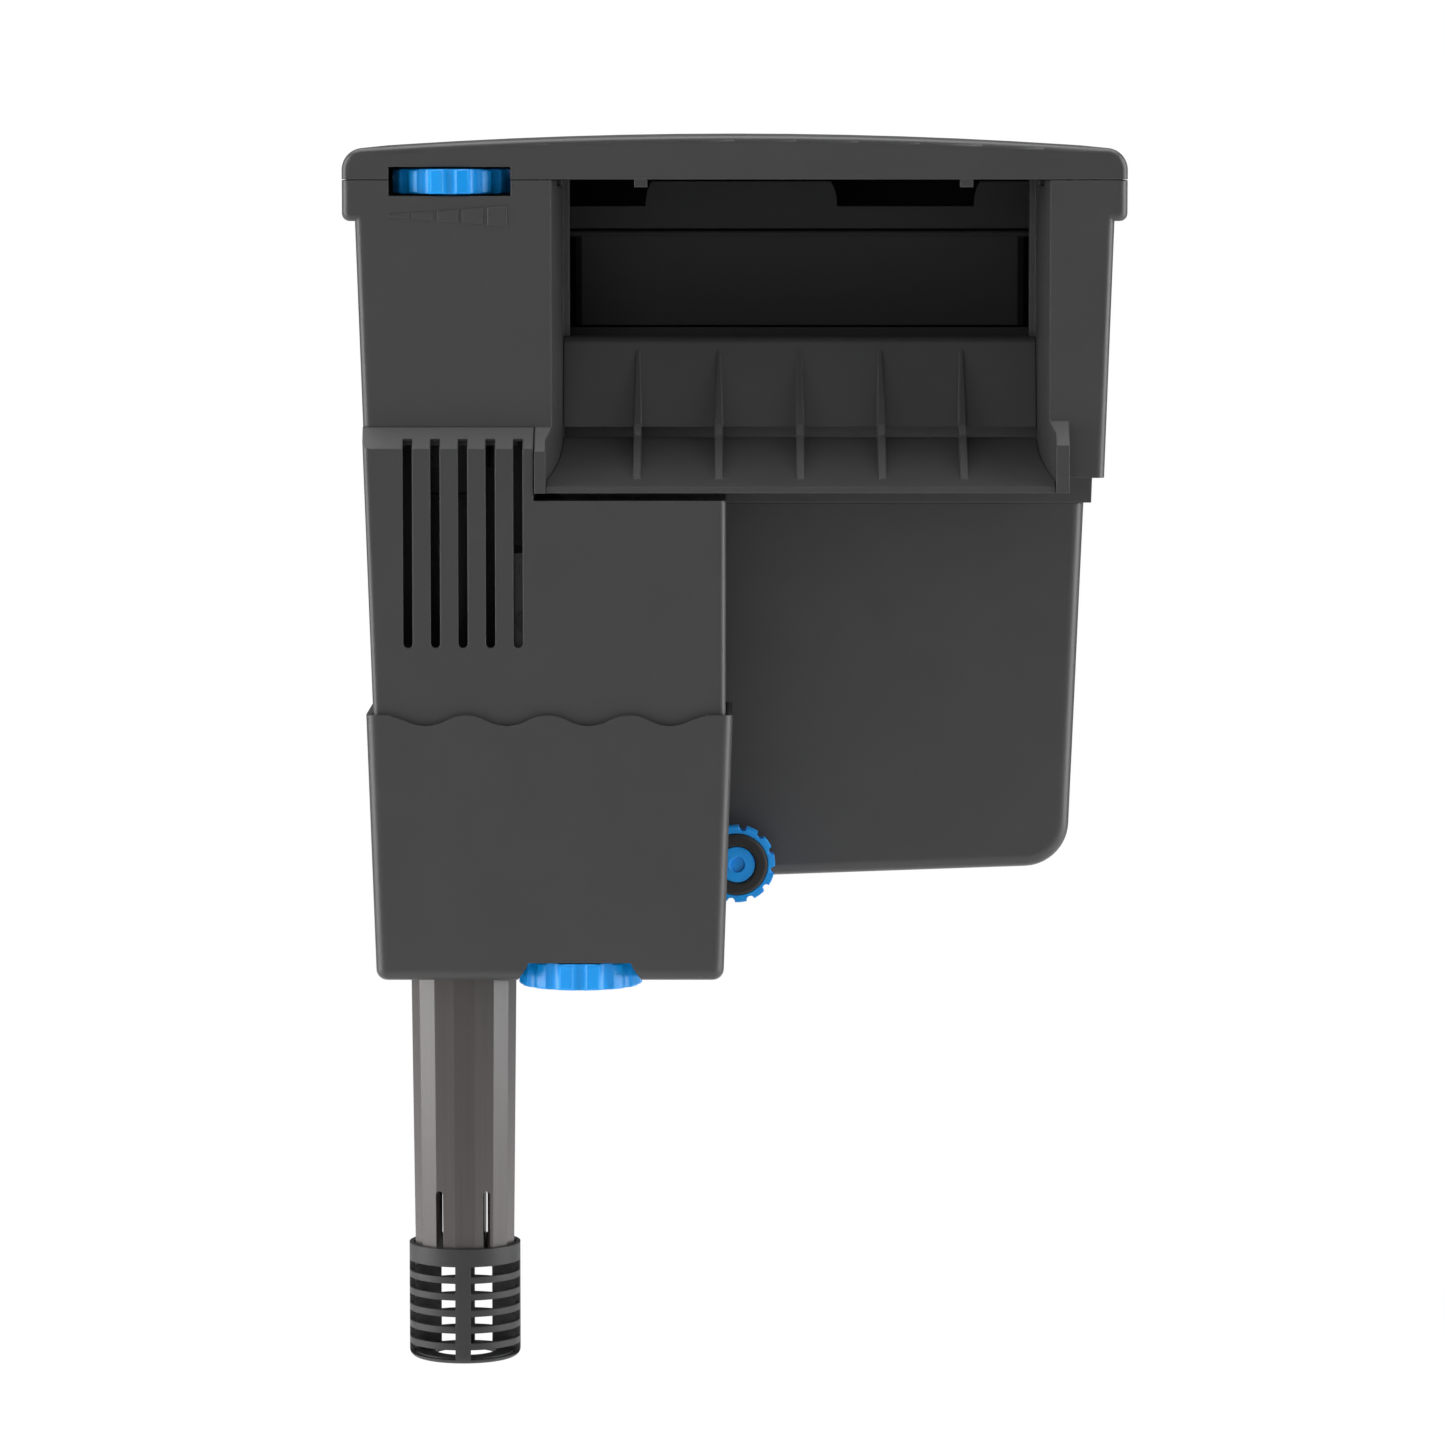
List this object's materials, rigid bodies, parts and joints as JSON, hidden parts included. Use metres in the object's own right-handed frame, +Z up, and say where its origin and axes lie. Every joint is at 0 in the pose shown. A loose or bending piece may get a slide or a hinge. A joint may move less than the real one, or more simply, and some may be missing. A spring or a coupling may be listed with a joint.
{
  "type": "hang-on power filter",
  "caption": "Hang-on-back aquarium filter: case with spill tray behind the glass, pump column, telescoping intake and blue flow, selector and levelling knobs.",
  "frame": {"origin": "middle of the underside of the bridge, where it rests on the tank rim", "axes": "+Z up, +X to the right seen from the tank, -Y towards the tank"},
  "size_m": [0.251, 0.1791, 0.3973],
  "materials": {
    "charcoal": "satin",
    "dark_plastic": "satin",
    "basket_plastic": "satin",
    "tube_plastic": "smoky",
    "blue": "satin",
    "rubber": "matt",
    "resin": "cast",
    "core_steel": "laminated",
    "copper": "enamelled wire",
    "ceramic": "polished",
    "magnet": "ferrite",
    "foam": "open cells",
    "bag": "mesh",
    "fleece": "fleece"
  },
  "bodies": {
    "case": {"filter_case": "charcoal", "outer_box": "charcoal", "spill_tray": "charcoal", "crossover_duct": "dark_plastic", "pump_housing": "charcoal", "motor_housing": "resin", "motor_cap": "resin", "stator_core": "core_steel", "stator_coil": "copper", "shaft_bush_upper": "rubber", "shaft_bush_lower": "rubber", "impeller_shaft": "ceramic", "volute": "dark_plastic", "riser_tube": "dark_plastic", "riser_seal": "rubber", "duct_seal": "rubber", "motor_grommets": "rubber", "cord_grommet": "rubber"},
    "lid_body": {"lid": "charcoal"},
    "basket": {"media_basket": "basket_plastic", "foam_pad": "foam", "media_bag": "bag", "fine_pad": "fleece"},
    "flap": {"basket_flap": "basket_plastic"},
    "flow_control": {"flow_knob": "blue", "flow_valve": "dark_plastic"},
    "cover": {"pump_cover": "charcoal", "intake_guide": "dark_plastic", "suction_chamber": "dark_plastic", "inlet_seal": "rubber"},
    "selector": {"selector_knob": "blue", "selector_valve": "dark_plastic"},
    "tube": {"intake_tube": "tube_plastic"},
    "strainer_body": {"strainer": "dark_plastic"},
    "rotor": {"rotor_magnet": "magnet", "impeller": "dark_plastic"},
    "level_foot": {"levelling_pad": "rubber"},
    "level_wheel": {"levelling_knob": "blue", "levelling_screw": "blue"}
  },
  "joints": [
    {"name": "lid_lift", "type": "slide", "parent": "case", "child": "lid_body", "axis": [0, 0, 1], "range_m": [0, 0.26]},
    {"name": "basket_lift", "type": "slide", "parent": "case", "child": "basket", "axis": [0, 0, 1], "range_m": [0, 0.2]},
    {"name": "flap_swing", "type": "hinge", "parent": "basket", "child": "flap", "pos_m": [0, 0.0189, 0.0767], "axis": [1, 0, 0], "range_deg": [-35, 0]},
    {"name": "flow_turn", "type": "hinge", "parent": "case", "child": "flow_control", "pos_m": [-0.091, -0.0366, 0.0946], "axis": [0, 0, 1], "range_deg": [-45, 45]},
    {"name": "cover_pull", "type": "slide", "parent": "case", "child": "cover", "axis": [0, 0, -1], "range_m": [0, 0.04]},
    {"name": "selector_turn", "type": "hinge", "parent": "cover", "child": "selector", "pos_m": [-0.0498, -0.045, -0.16], "axis": [0, 0, 1], "range_deg": [-45, 45]},
    {"name": "tube_slide", "type": "slide", "parent": "cover", "child": "tube", "axis": [0, 0, 1], "range_m": [0, 0.035]},
    {"name": "strainer_pull", "type": "slide", "parent": "tube", "child": "strainer_body", "axis": [0, 0, -1], "range_m": [0, 0.04]},
    {"name": "rotor_spin", "type": "hinge", "parent": "case", "child": "rotor", "pos_m": [-0.0498, -0.041, -0.06], "axis": [0, 0, 1], "continuous": true},
    {"name": "level_advance", "type": "slide", "parent": "case", "child": "level_foot", "axis": [0, -1, 0], "range_m": [0, 0.008]},
    {"name": "level_turn", "type": "hinge", "parent": "level_foot", "child": "level_wheel", "pos_m": [0.0009, 0.004, -0.131], "axis": [0, -1, 0], "range_deg": [0, 1430]}
  ],
  "couplings": [
    {"joint": "lid_lift", "follows": "basket_lift", "ratio": 1.3},
    {"joint": "level_advance", "follows": "level_turn", "m_per_rad": 0.00031831}
  ]
}
